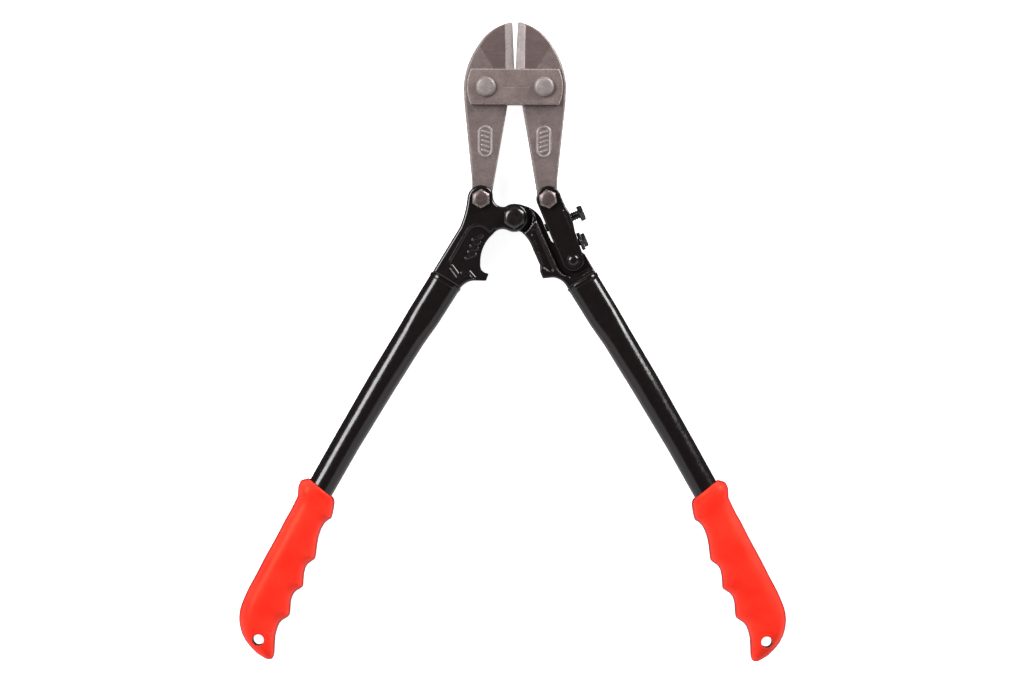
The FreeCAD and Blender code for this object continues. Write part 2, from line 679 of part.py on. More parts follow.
# distance along the handle, inner side, outer side (across the handle), thickness
GRIP_STATIONS = [
    (159.5, -11.2, 11.2, 22.0), (163.5, -13.4, 12.8, 25.0), (167.5, -15.2, 13.2, 26.6),
    (171.0, -16.0, 11.9, 26.6), (175.5, -15.2, 9.9, 24.8), (183.0, -14.7, 9.1, 23.6),
    (190.5, -16.3, 9.1, 25.0), (196.5, -19.3, 8.7, 26.6), (202.0, -20.4, 8.3, 27.2),
    (210.0, -19.1, 8.1, 26.6), (220.0, -23.2, 7.6, 27.8), (229.5, -21.2, 6.9, 27.0),
    (240.5, -25.3, 6.5, 28.0), (251.0, -23.6, 5.2, 27.2), (258.0, -25.0, 3.0, 26.6),
    (264.0, -28.2, -0.9, 25.4), (269.0, -31.2, -6.0, 22.0), (272.6, -31.0, -12.5, 16.0),
    (274.0, -28.5, -17.5, 9.0),
]


def across_section(body, name, distance):
    """A sketch plane across the handle, at a distance along it."""
    sketch = new_sketch(body, name, "XZ_Plane")
    sketch.AttachmentOffset = FreeCAD.Placement(FreeCAD.Vector(0, 0, distance), FreeCAD.Rotation())
    return sketch


def racetrack(sketch, centre, width, thickness):
    """A flattened tube's section: two flats and two round ends."""
    flat, end = (width - thickness) / 2, thickness / 2
    left, right = centre - flat, centre + flat
    outline(sketch, (right, -end), (right + end, 0, right, end), (left, end),
            (left - end, 0, left, -end))


def loft(body, name, kind, sections):
    """A smooth loft through sketches, added to the body or cut from it."""
    feature = body.newObject("PartDesign::" + kind, name)
    feature.Profile = sections[0]
    feature.Sections = sections[1:]
    feature.Ruled = False
    doc.recompute()
    return feature


def tube_sections(body, name, grow, side):
    """Racetrack sketches of the tube, all sizes grown by an amount on each side."""
    sections = []
    for number, (distance, width, thickness, offset) in enumerate(TUBE_STATIONS):
        sketch = across_section(body, "%s_%d" % (name, number), distance)
        racetrack(sketch, side * offset, width + 2 * grow, thickness + 2 * grow)
        sections.append(sketch)
    return sections


def along_handle(item, side):
    """Put an item's own origin at the tube's front end, its -Y axis along the handle."""
    item.setExpression("Placement.Base.x", "%d * sizes.tube_x" % side)
    item.setExpression("Placement.Base.y", "sizes.pivot_forward + sizes.tube_y")
    item.setExpression("Placement.Rotation.Angle", "%d * sizes.tube_angle" % side)


def make_tube(label, side):
    """A steel tube, pressed flat at its head end."""
    body = new_body(label)
    loft(body, "outside", "AdditiveLoft", tube_sections(body, "outer", 0, side))
    inner = tube_sections(body, "inner", -size("tube_wall"), side)
    loft(body, "inside", "SubtractiveLoft", inner)
    along_handle(body, side)
    return keep(body)


def make_grip(label, side):
    """A moulded grip: collar, finger ridges, hook end, socket for the tube, hanging hole."""
    body = new_body(label)
    sections = []
    for number, (distance, inner, outer, thickness) in enumerate(GRIP_STATIONS):
        sketch = across_section(body, "section_%d" % number, distance)
        centre, half = side * (inner + outer) / 2, (outer - inner) / 2
        sketch.addGeometry(Part.Ellipse(FreeCAD.Vector(centre, 0, 0), half, thickness / 2))
        sections.append(sketch)
    loft(body, "moulding", "AdditiveLoft", sections)
    socket = tube_sections(body, "socket", size("grip_gap"), side)
    loft(body, "socket", "SubtractiveLoft", socket)
    hole = new_sketch(body, "hanging_hole")
    circle(hole, "%d * sizes.hanging_hole_side" % side, "-1 * sizes.hanging_hole_at",
           "sizes.hanging_hole_radius")
    pocket(body, hole, "hanging_bore", "60")
    along_handle(body, side)
    return keep(body)


# ---------------------------------------------------------------- the tool

make_link_plate("link_plate_front", 1)
make_link_plate("link_plate_back", -1)
for name, side in (("left", -1), ("right", 1)):
    make_jaw_pivot("jaw_pivot_" + name, side)
    make_nut("jaw_pivot_nut_" + name, "%d * sizes.jaw_pivot_x" % side, "sizes.jaw_pivot_y", 13.0,
             "sizes.jaw_pivot_radius", -plate_face(), 15 * side)
    make_jaw("jaw_" + name, side)
    tail_x = "%d * sizes.tail_pivot_x" % side
    behind = -size("head_half") - size("washer_thickness")
    make_hex_bolt("tail_bolt_" + name, tail_x, "sizes.tail_pivot_y", size("tail_hex"),
                  "sizes.tail_bolt_radius", size("head_half"), "sizes.tail_hex_height", 30)
    make_washer("tail_washer_" + name, tail_x, "sizes.tail_pivot_y", "7", "sizes.tail_bolt_radius")
    make_nut("tail_nut_" + name, tail_x, "sizes.tail_pivot_y", size("tail_hex"),
             "sizes.tail_bolt_radius", behind, 10)
    make_tube("handle_tube_" + name, side)
    make_grip("grip_" + name, side)
make_left_head()
make_right_head()
make_hex_bolt("centre_bolt", "0", "0", size("centre_hex"), "sizes.centre_bolt_radius",
              size("head_half"), "sizes.centre_hex_height", 30)
make_washer("centre_washer", "0", "0", "8.2", "sizes.centre_bolt_radius")
make_nut("centre_nut", "0", "0", size("centre_hex"), "sizes.centre_bolt_radius",
         -size("head_half") - size("washer_thickness"), 0)
make_adjusting_link()
make_link_pin()
make_cross_screw("push_screw", "push_screw_radius", -8.6, 15.8, 18.5, 10.0)
make_cross_screw("lock_screw", "lock_screw_radius", 3.6, 10.9, 13.4, 9.0)
make_lock_nut()

doc.recompute()
for item in doc.Objects:
    if "Invalid" in item.State or "Error" in item.State:
        raise RuntimeError("failed: " + item.Label)
os.makedirs("parts", exist_ok=True)
for item in finished:
    if item.Shape.isNull() or not item.Shape.isValid():
        raise RuntimeError("bad shape: " + item.Label)
    item.Shape.exportStep("parts/%s.step" % item.Label)
    print(item.Label, len(item.Shape.Solids), round(item.Shape.Volume, 1))
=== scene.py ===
"""Bolt cutters lying flat, seen from straight above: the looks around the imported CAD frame.

Units are metres in the row's frame: +Y from the grips to the jaws, +X to the adjusting
link's side, +Z up. Both handles are built by the same functions, with side -1 or 1.
"""

import json
import math

import bmesh
import bpy
import numpy as np
from mathutils import Matrix, Vector
from mathutils.kdtree import KDTree


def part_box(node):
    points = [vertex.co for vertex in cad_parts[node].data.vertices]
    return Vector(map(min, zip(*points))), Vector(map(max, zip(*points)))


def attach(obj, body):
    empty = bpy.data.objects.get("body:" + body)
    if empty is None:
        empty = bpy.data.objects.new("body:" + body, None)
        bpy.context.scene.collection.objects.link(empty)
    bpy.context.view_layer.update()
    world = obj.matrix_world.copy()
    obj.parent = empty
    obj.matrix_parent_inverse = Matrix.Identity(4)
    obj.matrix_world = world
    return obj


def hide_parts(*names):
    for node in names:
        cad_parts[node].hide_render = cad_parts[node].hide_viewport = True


MM = 0.001
SIDES = (("left", -1), ("right", 1))
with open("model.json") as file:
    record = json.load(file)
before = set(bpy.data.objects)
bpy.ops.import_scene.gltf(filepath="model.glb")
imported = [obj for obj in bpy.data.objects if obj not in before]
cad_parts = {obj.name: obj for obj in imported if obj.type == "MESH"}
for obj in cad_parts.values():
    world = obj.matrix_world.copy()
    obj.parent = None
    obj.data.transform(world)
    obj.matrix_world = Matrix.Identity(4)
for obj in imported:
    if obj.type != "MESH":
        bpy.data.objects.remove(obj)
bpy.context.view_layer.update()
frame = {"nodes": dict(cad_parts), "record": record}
nodes = frame["nodes"]
body_of_node = {n: body for body, names in frame["record"]["behaviour"]["bodies"].items()
                for n in names}

# ---------------------------------------------------------------- places read from the frame


def middle(node):
    """The centre of a CAD node's box."""
    low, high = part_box(node)
    return (low + high) / 2


PLATE_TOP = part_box("link_plate_front")[1].z
HALF_DEPTH = (PLATE_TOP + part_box("link_plate_back")[0].z) / 2    # the tool's middle plane
CENTRE = Vector((middle("centre_nut").x, middle("centre_nut").y, HALF_DEPTH))
JAW_TOP = HALF_DEPTH + 4.5 * MM                   # a jaw's front face
HEAD_TOP = HALF_DEPTH + 8.5 * MM                  # front faces of the handle heads and link
HANDLE_ANGLE = math.radians(30.93)                # a handle's lean, as in the CAD source
TUBE_START = Vector((44.4, 40.1, 14.0)) * MM      # the right tube's front end
FIRST_SKIN, LAST_SKIN = 0.36 * MM, 0.32 * MM      # cell sizes of a forging's skins
JAW_SKIN, GRIP_SKIN = 0.34 * MM, 0.55 * MM
SHARP_ANGLE = math.radians(38)                    # edges sharper than this stay crisp
TURNED_STEPS = 96                                 # points round a turned piece


def from_centre(x, y):
    """A point in plan given in mm from the centre pivot."""
    return (CENTRE.x + x * MM, CENTRE.y + y * MM)


def along_handle(side):
    """The place of a handle's own axes: Y runs down the handle, X outwards, Z up."""
    down = Vector((side * math.sin(HANDLE_ANGLE), -math.cos(HANDLE_ANGLE), 0.0))
    out = Vector((side * math.cos(HANDLE_ANGLE), math.sin(HANDLE_ANGLE), 0.0))
    turned = Matrix((out, down, Vector((0, 0, 1)))).transposed().to_4x4()
    start = Vector((side * TUBE_START.x, TUBE_START.y, TUBE_START.z))
    return Matrix.Translation(start) @ turned


# ---------------------------------------------------------------- material nodes


class Nodes:
    """A short way to add shader nodes to one material."""

    def __init__(self, name):
        self.material = bpy.data.materials.new(name)
        self.material.use_nodes = True
        self.tree = self.material.node_tree
        self.tree.nodes.clear()
        self.surface = self.add("ShaderNodeBsdfPrincipled")
        output = self.add("ShaderNodeOutputMaterial")
        self.link(self.surface.outputs["BSDF"], output.inputs["Surface"])
        self.place = self.add("ShaderNodeTexCoord").outputs["Object"]

    def add(self, kind, **settings):
        node = self.tree.nodes.new(kind)
        for key, value in settings.items():
            setattr(node, key, value)
        return node

    def link(self, source, target):
        self.tree.links.new(source, target)

    def noise(self, scale, detail=4.0, roughness=0.55, stretch=None):
        """Noise over the object, scale in cells per metre."""
        node = self.add("ShaderNodeTexNoise")
        node.inputs["Scale"].default_value = scale
        node.inputs["Detail"].default_value = detail
        node.inputs["Roughness"].default_value = roughness
        place = self.place
        if stretch:
            mapping = self.add("ShaderNodeMapping")
            mapping.inputs["Rotation"].default_value = stretch[0]
            mapping.inputs["Scale"].default_value = stretch[1]
            self.link(place, mapping.inputs["Vector"])
            place = mapping.outputs["Vector"]
        self.link(place, node.inputs["Vector"])
        return node.outputs["Fac"]

    def ramp(self, source, *stops):
        """A colour ramp; a stop is (position, colour)."""
        node = self.add("ShaderNodeValToRGB")
        while len(node.color_ramp.elements) < len(stops):
            node.color_ramp.elements.new(0.5)
        for element, (spot, colour) in zip(node.color_ramp.elements, stops):
            element.position = spot
            element.color = (*colour, 1.0)
        self.link(source, node.inputs["Fac"])
        return node.outputs["Color"]

    def spread(self, source, low, high, start=0.3, end=0.7):
        """Map a 0 to 1 value from start..end to low..high."""
        node = self.add("ShaderNodeMapRange")
        for key, value in (("From Min", start), ("From Max", end), ("To Min", low),
                           ("To Max", high)):
            node.inputs[key].default_value = value
        self.link(source, node.inputs["Value"])
        return node.outputs["Result"]

    def mix(self, factor, first, second, blend="MIX"):
        """Mix two colours; either may be a socket or a colour."""
        node = self.add("ShaderNodeMix", data_type="RGBA", blend_type=blend)
        sockets = [s for s in node.inputs if s.type == "RGBA"]
        for socket, value in zip(sockets, (first, second)):
            if isinstance(value, tuple):
                socket.default_value = (*value, 1.0)
            else:
                self.link(value, socket)
        if isinstance(factor, float):
            node.inputs[0].default_value = factor
        else:
            self.link(factor, node.inputs[0])
        return [s for s in node.outputs if s.type == "RGBA"][0]

    def times(self, first, second):
        """The product of two values."""
        node = self.add("ShaderNodeMath", operation="MULTIPLY")
        self.link(first, node.inputs[0])
        self.link(second, node.inputs[1])
        return node.outputs["Value"]

    def tilt(self, flat, steep):
        """0 where a surface lies level, 1 where it stands; flat and steep are its normal's
        upward part at the two ends."""
        parts = self.add("ShaderNodeSeparateXYZ")
        self.link(self.add("ShaderNodeNewGeometry").outputs["Normal"], parts.inputs["Vector"])
        size = self.add("ShaderNodeMath", operation="ABSOLUTE")
        self.link(parts.outputs["Z"], size.inputs[0])
        return self.spread(size.outputs["Value"], 0.0, 1.0, flat, steep)

    def bump(self, *heights):
        """Chain bump nodes; a height is (source, strength, distance)."""
        last = None
        for source, strength, distance in heights:
            node = self.add("ShaderNodeBump")
            node.inputs["Strength"].default_value = strength
            node.inputs["Distance"].default_value = distance
            self.link(source, node.inputs["Height"])
            if last:
                self.link(last, node.inputs["Normal"])
            last = node.outputs["Normal"]
        self.link(last, self.surface.inputs["Normal"])

    def set(self, **values):
        """Set the shader's own sockets; a value may be a number, a colour or a socket."""
        names = {"colour": "Base Color", "metal": "Metallic", "rough": "Roughness",
                 "specular": "Specular IOR Level", "tint": "Specular Tint"}
        for key, value in values.items():
            socket = self.surface.inputs[names[key]]
            if isinstance(value, (int, float)):
                socket.default_value = value
            elif isinstance(value, tuple):
                socket.default_value = (*value, 1.0)
            else:
                self.link(value, socket)


def forged_steel(name, dark, light, rough=(0.45, 0.62), metal=0.45, edge_highlight_colour=None):
    """Bare forged steel: mottled, pitted, brown, with a speckled painted highlight on its steep
    faces along the edges.
    """
    m = Nodes(name)
    blotches = m.noise(110, 5, 0.6)
    grain = m.noise(1050, 4, 0.75)
    pits = m.noise(1700, 3, 0.6)
    colour = m.ramp(blotches, (0.34, dark), (0.66, light))
    speckle = m.ramp(grain, (0.37, (0.66, 0.64, 0.64)), (0.53, (1.0, 1.0, 1.0)),
                     (0.68, (1.38, 1.36, 1.34)))
    colour = m.mix(0.55, colour, speckle, "MULTIPLY")
    # Painted highlight: steep faces such as bevels and chamfers are lightened towards this colour
    # in speckled patches.
    if edge_highlight_colour:
        patches = m.spread(grain, 0.0, 1.0, 0.40, 0.60)
        colour = m.mix(m.times(m.tilt(0.97, 0.70), patches), colour, edge_highlight_colour)
    m.set(colour=colour, metal=metal, rough=m.spread(grain, *rough))
    m.bump((pits, 0.35, 0.00012), (blotches, 0.15, 0.0004))
    return m.material


def ground_steel(name, dark, light, lines_angle, speckle):
    """Steel with fine grinding lines along one direction in plan."""
    m = Nodes(name)
    turned = ((0.0, 0.0, lines_angle), (90.0, 2600.0, 900.0))
    lines = m.noise(1.0, 3, 0.6, stretch=turned)
    blotches = m.noise(140, 4, 0.6)
    grain = m.noise(1150, 4, 0.75)
    colour = m.ramp(lines, (0.30, dark), (0.72, light))
    tone = m.ramp(blotches, (0.3, (0.86, 0.85, 0.85)), (0.7, (1.1, 1.08, 1.08)))
    colour = m.mix(0.8, colour, tone, "MULTIPLY")
    spots = m.ramp(grain, (0.36, (0.70, 0.68, 0.68)), (0.66, (1.24, 1.23, 1.22)))
    colour = m.mix(speckle, colour, spots, "MULTIPLY")
    m.set(colour=colour, metal=0.45, rough=m.spread(lines, 0.38, 0.55))
    m.bump((lines, 0.2, 0.00008), (grain, 0.15, 0.00008))
    return m.material


def black_paint(name):
    """Thick gloss black paint over a rough forging: sags a little, with a few dull specks."""
    m = Nodes(name)
    waves = m.noise(260, 3, 0.5)
    peel = m.noise(1500, 2, 0.5)
    dust = m.noise(3200, 2, 0.6)
    colour = m.ramp(dust, (0.55, (0.0060, 0.0040, 0.0042)), (0.85, (0.012, 0.009, 0.009)))
    m.set(colour=colour, rough=m.spread(waves, 0.14, 0.24), specular=0.5)
    m.bump((waves, 0.12, 0.0005), (peel, 0.05, 0.0001))
    return m.material


def black_oxide(name):
    """Blackened fasteners: dark, oily, a little grey in patches on their steeper faces."""
    m = Nodes(name)
    grain = m.noise(1500, 3, 0.7)
    blotches = m.noise(300, 4, 0.6)
    colour = m.ramp(blotches, (0.3, (0.006, 0.0045, 0.0045)), (0.75, (0.016, 0.012, 0.012)))
    # Grey in patches where the faces are steeper.
    steep_grey_patches = m.times(m.tilt(0.9, 0.6), m.spread(grain, 0.0, 0.7, 0.5, 0.62))
    colour = m.mix(steep_grey_patches, colour, (0.10, 0.09, 0.09))
    m.set(colour=colour, metal=0.1, rough=m.spread(grain, 0.14, 0.26), specular=0.6)
    m.bump((grain, 0.12, 0.00006))
    return m.material


def red_vinyl(name):
    """Moulded vinyl: even red, a fine orange peel, with painted shade where the sides turn down.
    """
    m = Nodes(name)
    clouds = m.noise(45, 4, 0.55)
    peel = m.noise(900, 3, 0.55)
    scuffs = m.noise(420, 6, 0.75)
    colour = m.ramp(clouds, (0.3, (0.86, 0.020, 0.011)), (0.7, (0.95, 0.034, 0.017)))
    tone = m.ramp(scuffs, (0.40, (0.90, 0.88, 0.88)), (0.62, (1.03, 1.03, 1.03)))
    colour = m.mix(0.5, colour, tone, "MULTIPLY")
    # Painted shade: the steep sides are darkened towards a deep red.
    colour = m.mix(m.tilt(0.52, 0.15), colour, (0.16, 0.003, 0.003))
    m.set(colour=colour, rough=m.spread(clouds, 0.36, 0.48), specular=0.17,
          tint=(1.0, 0.66, 0.36))
    m.bump((peel, 0.10, 0.00015), (scuffs, 0.06, 0.0002))
    return m.material


# A forged steel's edge_highlight_colour (once named worn) is a painted highlight on its bevels and
# chamfers.
MATERIALS = {
    "jaw": forged_steel("forged_jaw_steel", (0.125, 0.094, 0.091), (0.168, 0.130, 0.126),
                        edge_highlight_colour=(0.36, 0.33, 0.31)),
    "relief": ground_steel("ground_relief", (0.104, 0.072, 0.070), (0.130, 0.092, 0.089),
                           lines_angle=0.6, speckle=0.3),
    "edge": ground_steel("ground_cutting_edge", (0.215, 0.188, 0.184), (0.305, 0.272, 0.266),
                         lines_angle=1.57, speckle=0.9),
    "plate": forged_steel("plate_steel", (0.148, 0.110, 0.104), (0.196, 0.152, 0.144),
                          edge_highlight_colour=(0.42, 0.38, 0.36)),
    "rivet": forged_steel("rivet_steel", (0.19, 0.160, 0.155), (0.275, 0.238, 0.230)),
    "bolt": forged_steel("bolt_steel", (0.085, 0.060, 0.058), (0.13, 0.096, 0.093),
                         rough=(0.30, 0.44), metal=0.6, edge_highlight_colour=(0.36, 0.32, 0.31)),
    "oxide": black_oxide("blackened_steel"),
    "paint": black_paint("gloss_black_paint"),
    "vinyl": red_vinyl("red_grip_vinyl"),
}


# ---------------------------------------------------------------- piece helpers


def add_piece(name, mesh, material, node):
    """Show a mesh in place of a CAD node, riding with the node's body."""
    piece = bpy.data.objects.new(name, mesh)
    bpy.context.scene.collection.objects.link(piece)
    mesh.materials.clear()
    for one in material if isinstance(material, list) else [material]:
        mesh.materials.append(MATERIALS[one])
    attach(piece, body_of_node[node])
    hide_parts(node)
    return piece


def clean_copy(node):
    """A CAD node's mesh, welded, with flat faces merged."""
    made = bmesh.new()
    made.from_mesh(nodes[node].data)
    bmesh.ops.remove_doubles(made, verts=made.verts, dist=2e-6)
    bmesh.ops.dissolve_limit(made, angle_limit=math.radians(0.5), verts=made.verts,
                             edges=made.edges)
    mesh = bpy.data.meshes.new(node + "_mesh")
    made.to_mesh(mesh)
    made.free()
    return mesh


def machined(node, material, width=0.25 * MM):
    """A CAD node with its edges rounded by a bevel."""
    piece = add_piece(node + "_part", clean_copy(node), material, node)
    for face in piece.data.polygons:
        face.use_smooth = True
    bevel = piece.modifiers.new("edges", "BEVEL")
    bevel.width = width
    bevel.segments = 3
    bevel.limit_method = "ANGLE"
    bevel.angle_limit = math.radians(22)
    bevel.harden_normals = True
    bevel.miter_outer = "MITER_ARC"


def soften(piece, voxel, smoothing):
    """Give a piece an even skin with soft edges, and keep the result as its mesh."""
    remesh = piece.modifiers.new("skin", "REMESH")
    remesh.mode = "VOXEL"
    remesh.voxel_size = voxel
    remesh.use_smooth_shade = True
    if smoothing:
        smooth = piece.modifiers.new("soften", "SMOOTH")
        smooth.factor = 0.5
        smooth.iterations = smoothing
    graph = bpy.context.evaluated_depsgraph_get()
    skin = bpy.data.meshes.new_from_object(piece.evaluated_get(graph))
    piece.modifiers.clear()
    piece.data = skin


def forged(node, material, voxel, smoothing=0):
    """A CAD node with an even skin, as a forging has under its paint."""
    piece = add_piece(node + "_part", clean_copy(node), material, node)
    soften(piece, voxel, smoothing)
    return piece


def read_vectors(elements, name):
    """One vector per vertex as an array."""
    values = np.empty(len(elements) * 3)
    elements.foreach_get(name, values)
    return values.reshape(-1, 3)


def move_points(mesh, points):
    """Put the mesh's vertices at these points."""
    mesh.vertices.foreach_set("co", points.ravel())
    mesh.update()


def distance_to_line(points, line):
    """Distance in plan from each point to a line of straight runs."""
    nearest = np.full(len(points), np.inf)
    for start, end in zip(line, line[1:]):
        step = np.subtract(end, start)
        part = np.clip(((points[:, :2] - start) @ step) / (step @ step), 0, 1)
        gap = np.linalg.norm(points[:, :2] - start - part[:, None] * step, axis=1)
        nearest = np.minimum(nearest, gap)
    return nearest


def raise_lines(piece, lines, width, height):
    """Raise rounded ribs on a piece's front face along lines in plan; a negative height
    sinks a groove."""
    points = read_vectors(piece.data.vertices, "co")
    facing = read_vectors(piece.data.vertices, "normal")[:, 2] > 0.6
    for line in lines:
        gap = distance_to_line(points, line)
        rise = height * np.clip(1 - (2 * gap / width) ** 2, 0, 1)
        points[:, 2] += rise * facing
    move_points(piece.data, points)


def round_over(piece, radius):
    """Lower both faces of a forging towards its outline, so that its long edges are round.
    The outline is where its walls stand between two levels, measured from the middle."""
    wall_low, wall_high = 5.2 * MM, 6.6 * MM
    points = read_vectors(piece.data.vertices, "co")
    upward = read_vectors(piece.data.vertices, "normal")[:, 2]
    height = points[:, 2] - HALF_DEPTH
    face_level = HEAD_TOP - HALF_DEPTH
    for face in (1, -1):
        level = height * face
        wall = np.nonzero((abs(upward) < 0.3) & (level > wall_low) & (level < wall_high))[0]
        tree = KDTree(len(wall))
        for number, index in enumerate(wall):
            tree.insert((points[index, 0], points[index, 1], 0.0), number)
        tree.balance()
        for index in np.nonzero(level > wall_high)[0]:
            gap = tree.find((points[index, 0], points[index, 1], 0.0))[2]
            if gap < radius:
                drop = radius - math.sqrt(radius ** 2 - (radius - gap) ** 2)
                level[index] = min(level[index], face_level - drop)
        chosen = level > wall_high - radius
        points[chosen, 2] = HALF_DEPTH + face * level[chosen]
    move_points(piece.data, points)


def mesh_through(name, loops, closed):
    """A solid through loops of points, one face between each two neighbours. closed joins
    the last loop to the first; otherwise both end flat."""
    made = bmesh.new()
    loops = [[made.verts.new(point) for point in loop] for loop in loops]
    steps = len(loops[0])
    for first, second in zip(loops, loops[1:] + (loops[:1] if closed else [])):
        for step in range(steps):
            after = (step + 1) % steps
            made.faces.new((first[step], first[after], second[after], second[step]))
    if not closed:
        made.faces.new(loops[0])
        made.faces.new(loops[-1])
    bmesh.ops.dissolve_degenerate(made, dist=1e-7, edges=made.edges)
    bmesh.ops.recalc_face_normals(made, faces=made.faces)
    mesh = bpy.data.meshes.new(name)
    made.to_mesh(mesh)
    made.free()
    for face in mesh.polygons:
        face.use_smooth = True
    mesh.set_sharp_from_angle(angle=SHARP_ANGLE)
    return mesh


def turned_mesh(name, rings, place, bored=False):
    """A closed solid about its own Z axis, put in its place. A ring is a function of the
    angle that gives a radius and a height; the first and last rings are closed flat, or
    joined to each other by a bore."""
    angles = [2 * math.pi * step / TURNED_STEPS for step in range(TURNED_STEPS)]
    loops = []
    for ring_at in rings:
        loop = []
        for angle in angles:
            radius, height = ring_at(angle)
            x, y = radius * math.cos(angle), radius * math.sin(angle)
            loop.append(place @ Vector((x, y, height)))
        loops.append(loop)
    return mesh_through(name, loops, bored)


def ring(radius, height):
    """A plain round ring for turned_mesh; both in mm."""
    return lambda angle: (radius * MM, height * MM)


def hexagon_radius(angle, flats):
    """A hexagon's radius at an angle, with a corner at angle 0."""
    return flats / 2 / math.cos(angle % (math.pi / 3) - math.pi / 6)


def hexagon_ring(flats, inset, height):
    """A hexagonal ring, flats across in mm; height is a function of the radius in mm."""
    def give(angle):
        radius = hexagon_radius(angle, flats) - inset
        return radius * MM, height(radius) * MM
    return give


def hexagon_head(flats, face, top, bottom, slope=30):
    """Rings of a hexagon head with turned-off corners, from the middle of its round face to
    the rim under it; face is the round face's radius. All in mm, slope in degrees."""
    fall = math.tan(math.radians(slope))
    cone = lambda radius: top - max(radius - face, 0.0) * fall
    return [ring(0.3 * face, top - 0.04), ring(0.55 * face, top), ring(face - 0.15, top),
            hexagon_ring(flats, 0.18, cone),
            hexagon_ring(flats, 0.0, lambda radius: cone(radius) - 0.2),
            hexagon_ring(flats, 0.0, lambda radius: bottom + 0.15),
            hexagon_ring(flats, 0.15, lambda radius: bottom)]


def thread_rings(radius, pitch, low, high):
    """Level rings of a right-handed screw thread from high down to low, all in mm. The
    helix is in each ring's radius."""
    depth, rings_per_turn = 0.28 * pitch, 12
    rings = []
    for height in np.linspace(high, low, int(rings_per_turn * (high - low) / pitch)):
        def give(angle, height=height):
            turn = (height / pitch - angle / (2 * math.pi)) % 1
            cut = min(max(4 * abs(turn - 0.5) - 0.5, 0), 1)
            return (radius - depth * cut) * MM, height * MM
        rings.append(give)
    return rings


# ---------------------------------------------------------------- jaws and link plates

# all in mm, on the right jaw and from the centre pivot
EDGE_FOOT = (0.25, 91.0)          # lower end of the cutting edge
EDGE_SLOPE = 1.4 / 37.5           # how the cutting edge leans away from the middle
BEVEL_WIDTH = 6.6
RELIEF_CORNER = (14.0, 98.2)      # a point on the relief's lower border
RELIEF_ACROSS = (-0.841, 0.541)   # the direction across that border, towards the tip
LEVEL_FACE = 0.93                 # upward part of the normal of a face that counts as level
JAW_MARK = (19.2, 50.0)           # middle of the cartouche
JAW_MARK_REACH, JAW_MARK_WIDTH = 5.6, 4.9
PAD_HEIGHT, RIM_WIDTH, RIM_HEIGHT = 0.25, 1.3, 0.45
CREST_HEIGHT = 0.36               # raised further than this, a mark's crest gets a painted highlight


def jaw_finish(side, normal, centre):
    """0 forged, 1 the ground relief, 2 bright: the cutting bevels, and the mark's crests as a
    painted highlight.
    """
    x, y = side * (centre.x - CENTRE.x) / MM, (centre.y - CENTRE.y) / MM
    if y < EDGE_FOOT[1] - 1:
        # The mark's high crests take the bright ground finish as a painted highlight.
        highlit_crest = y < JAW_MARK[1] + 14 and centre.z > JAW_TOP + CREST_HEIGHT * MM
        return 2 if highlit_crest else 0
    edge_x = EDGE_FOOT[0] + (y - EDGE_FOOT[1]) * EDGE_SLOPE
    if x - edge_x < BEVEL_WIDTH and abs(normal.z) < LEVEL_FACE:
        return 2
    past_relief = ((x - RELIEF_CORNER[0]) * RELIEF_ACROSS[0]
                   + (y - RELIEF_CORNER[1]) * RELIEF_ACROSS[1])
    return 1 if past_relief > 0 and abs(normal.z) > LEVEL_FACE else 0


def cartouche(jaw, side):
    """A raised stadium with a rim and plain slanting ridges on the jaw's front face, in
    place of the CAD's simpler one."""
    points = read_vectors(jaw.data.vertices, "co")
    tail = [from_centre(side * 19.0, 36.0), from_centre(side * 19.0, 64.0)]
    near = distance_to_line(points, tail) < 12 * MM
    points[:, 2] = np.where(near, np.minimum(points[:, 2], JAW_TOP), points[:, 2])
    ends = [from_centre(side * JAW_MARK[0], JAW_MARK[1] + reach)
            for reach in (-JAW_MARK_REACH, JAW_MARK_REACH)]
    gap = distance_to_line(points, ends) / MM
    facing = points[:, 2] > JAW_TOP - 0.1 * MM
    pad = np.clip((JAW_MARK_WIDTH - gap) / 0.5, 0, 1) * PAD_HEIGHT
    from_rim = gap - JAW_MARK_WIDTH + 0.7
    rim = np.clip(1 - (2 * from_rim / RIM_WIDTH) ** 2, 0, 1) * RIM_HEIGHT
    points[:, 2] += (pad + rim) * MM * facing
    move_points(jaw.data, points)
    ridges = []
    for step in (-2, -1, 0, 1, 2):
        low = JAW_MARK[1] + 3.1 * step
        ridges.append([from_centre(side * (JAW_MARK[0] - 2.1), low - 0.7),
                       from_centre(side * (JAW_MARK[0] + 2.1), low + 0.7)])
    raise_lines(jaw, ridges, 1.3 * MM, 0.5 * MM)


def make_jaws():
    for name, side in SIDES:
        jaw = forged("jaw_" + name, ["jaw", "relief", "edge"], JAW_SKIN)
        cartouche(jaw, side)
        soften(jaw, LAST_SKIN, 2)
        for face in jaw.data.polygons:
            face.material_index = jaw_finish(side, face.normal, face.center)


def make_plates():
    for face in ("front", "back"):
        plate = forged("link_plate_" + face, "plate", LAST_SKIN, 2)
        if face == "front":
            seam = [from_centre(-8.0, 85.9), from_centre(9.0, 85.6)]
            raise_lines(plate, [seam], 0.9 * MM, -0.18 * MM)


# ---------------------------------------------------------------- fasteners


def upright(node, turn=0.0):
    """The place of a fastener that stands at a node's middle, its own origin at mid-depth."""
    spot = middle(node)
    turned = Matrix.Rotation(math.radians(turn), 4, "Z")
    return Matrix.Translation((spot.x, spot.y, HALF_DEPTH)) @ turned


def depth_range(node):
    """A node's lowest and highest levels, in mm from the middle plane."""
    return [(corner.z - HALF_DEPTH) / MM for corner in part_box(node)]


